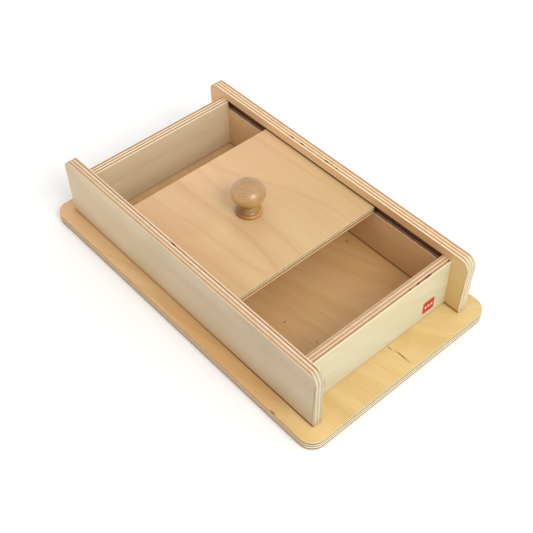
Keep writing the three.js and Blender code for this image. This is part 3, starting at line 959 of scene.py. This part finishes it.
# Marks, as (middle, radii, strength, tone) in millimetres.
BASE_MARKS = (
    ((146.2, 10.6, 9), (8.0, 0.8, 1), 0.55, "a0621e"),      # a streak beyond the labelled end, and its core
    ((145.2, 10.8, 9), (4.2, 0.4, 1), 0.75, "6e3210"),
    ((134.4, 9.2, 9), (2.6, 0.5, 1), 0.7, "9a4f22"),        # a shorter one beside it
    ((63.7, -31.8, 9), (0.9, 0.8, 1), 0.7, KNOT_TONE_AND_VOID_SHADE),           # pin knots inside the box
    ((94.5, -27, 9), (2.2, 0.45, 1), 0.7, "7a3c1c"),
    ((35, 63.5, 9), (2.0, 1.6, 1), 0.3, KNOT_TONE_AND_VOID_SHADE),
    ((118.5, -92.9, 8.7), (3.0, 0.5, 1), 0.7, KNOT_TONE_AND_VOID_SHADE),        # painted shade lining the chip
    ((45, -86, 9), (85, 8, 2), 0.2, "a4743c"),              # painted shade along the front margin, at the front panel's foot
    ((147, -77, 9), (24, 17, 2), 0.24, "fdd290"),           # painted light at its right corner, beside the front panel's end
)
RIGHT_MARKS = (
    ((130.4, 42.5, 56.5), (0.5, 7.4, 0.8), 0.8, "6b3a1c"),  # a dark stretch of core between its voids
    ((130.4, 28.8, 56.5), (0.7, 1.2, 0.8), 0.8, KNOT_TONE_AND_VOID_SHADE),
    ((132, -47.5, 27.8), (1, 5.0, 0.5), 0.3, STAIN),        # a faint scratch on the outer face
)
LID_MARKS = (
    ((-50, -42, 55.6), (40, 27, 3), 0.12, "9a6638"),        # a darker patch at the front left
)


def void_shade(voids, strength=0.95):
    """Painted shade that lines the voids."""
    return [(middle, [1.15 * r for r in radii], strength, KNOT_TONE_AND_VOID_SHADE) for middle, radii in voids]


def make_box():
    base_wood = plywood(
        "birch_base", BASE_LOW, BASE_HIGH, "z", "x",
        look(light="e0bc8c", deep="d8b27f", blush="dbac84", arris="f8efdb", slant=-0.15, twist=-4.0,
             bands=110.0, mottle=0.3, contours=70.0, contour=0.10, stain="b8723e",
             tints=((-60, 40, (1.03, 0.97, 0.84, 1)), (108, 132, (0.99, 1.165, 1.10, 1)))),
        BASE_EDGES, seed=2.0, marks=BASE_MARKS)
    make_base(base_wood)

    front_wood = plywood(
        "birch_front_side", FRONT_LOW, FRONT_HIGH, "y", "x",
        look(light="d8c4a5", deep="d1b696", blush="c2b48e", stain="b99470", arris="dcc9aa", mottle=0.7,
             contour=0.08, bands=45.0, tints=((-100, 60, (0.82, 0.83, 0.84, 1)),)),
        FRONT_EDGES, seed=11.0, marks=void_shade(FRONT_VOIDS), veer=1.1 * MM, foot_shade=0.92)
    back_wood = plywood(
        "birch_back_side", BACK_LOW, BACK_HIGH, "y", "x",
        look(light="e9c598", deep="e2bb8c", blush="dcae82", arris="fae3bd", contour=0.08,
             tints=((0, 90, (0.87, 0.80, 0.73, 1)), (128, 134, (1.01, 1.20, 1.10, 1)))),
        BACK_EDGES, bounds=BACK_PLIES, seed=17.0, marks=void_shade(BACK_VOIDS), foot_shade=0.7)
    make_side("front_side_board", FRONT_LOW, FRONT_HIGH, 1, front_wood,
              routed_groove("front_groove", FRONT_HIGH.y, 1, 53.0), "front_side_panel", FRONT_VOIDS)
    make_side("back_side_board", BACK_LOW, BACK_HIGH, -1, back_wood,
              routed_groove("back_groove", BACK_LOW.y, -1, 59.0), "back_side_panel", BACK_VOIDS)

    left_wood = plywood(
        "birch_left_end", LEFT_LOW, LEFT_HIGH, "x", "y",
        look(light="e0ceae", deep="dac7a3", blush="d3b58e", stain="b8946a", contour=0.12),
        LEFT_EDGES, seed=23.0, foot_shade=0.3)
    right_wood = plywood(
        "birch_right_end", RIGHT_LOW, RIGHT_HIGH, "x", "y",
        look(light="d2ceb2", deep="cdc5a6", blush="cfc294", stain="bba57c", arris="efe4c6", contour=0.12,
             mottle=0.5, slant=0.35, wander=0.05),
        RIGHT_EDGES, seed=29.0, foot_shade=0.3, marks=[*void_shade(RIGHT_VOIDS), *RIGHT_MARKS])
    make_end("left_end_board", LEFT_LOW, LEFT_HIGH, left_wood, "left_end_panel", ())
    make_end("right_end_board", RIGHT_LOW, RIGHT_HIGH, right_wood, "right_end_panel", RIGHT_VOIDS)

    lid_wood = plywood(
        "birch_lid", LID_LOW, LID_HIGH, "z", "x",
        look(light="e0bd8e", deep="d9b282", arris="fbeccd", stain="c6866c", contour=0.17, contours=36.0,
             wander=0.035, tints=((-60, 30, (0.90, 0.92, 0.85, 1)),)),
        LID_EDGES, bounds=LID_PLIES, seed=37.0, groove_shade_reach=71.6 * MM, marks=LID_MARKS)
    make_lid(lid_wood)
    make_knob(turned_beech("beech_knob"))


def make_fittings():
    steel = zinc_steel("zinc_steel")
    beech = dowel_wood("dowel_beech")
    make_screw("knob_screw_threaded", "knob_screw", "lid", steel)
    for node in BASE_SCREWS:
        make_screw(node + "_threaded", node, "box", steel)
    for node in DOWELS:
        make_dowel(node + "_fluted", node, beech)
    make_label(red_vinyl("red_vinyl"))


make_box()
make_fittings()
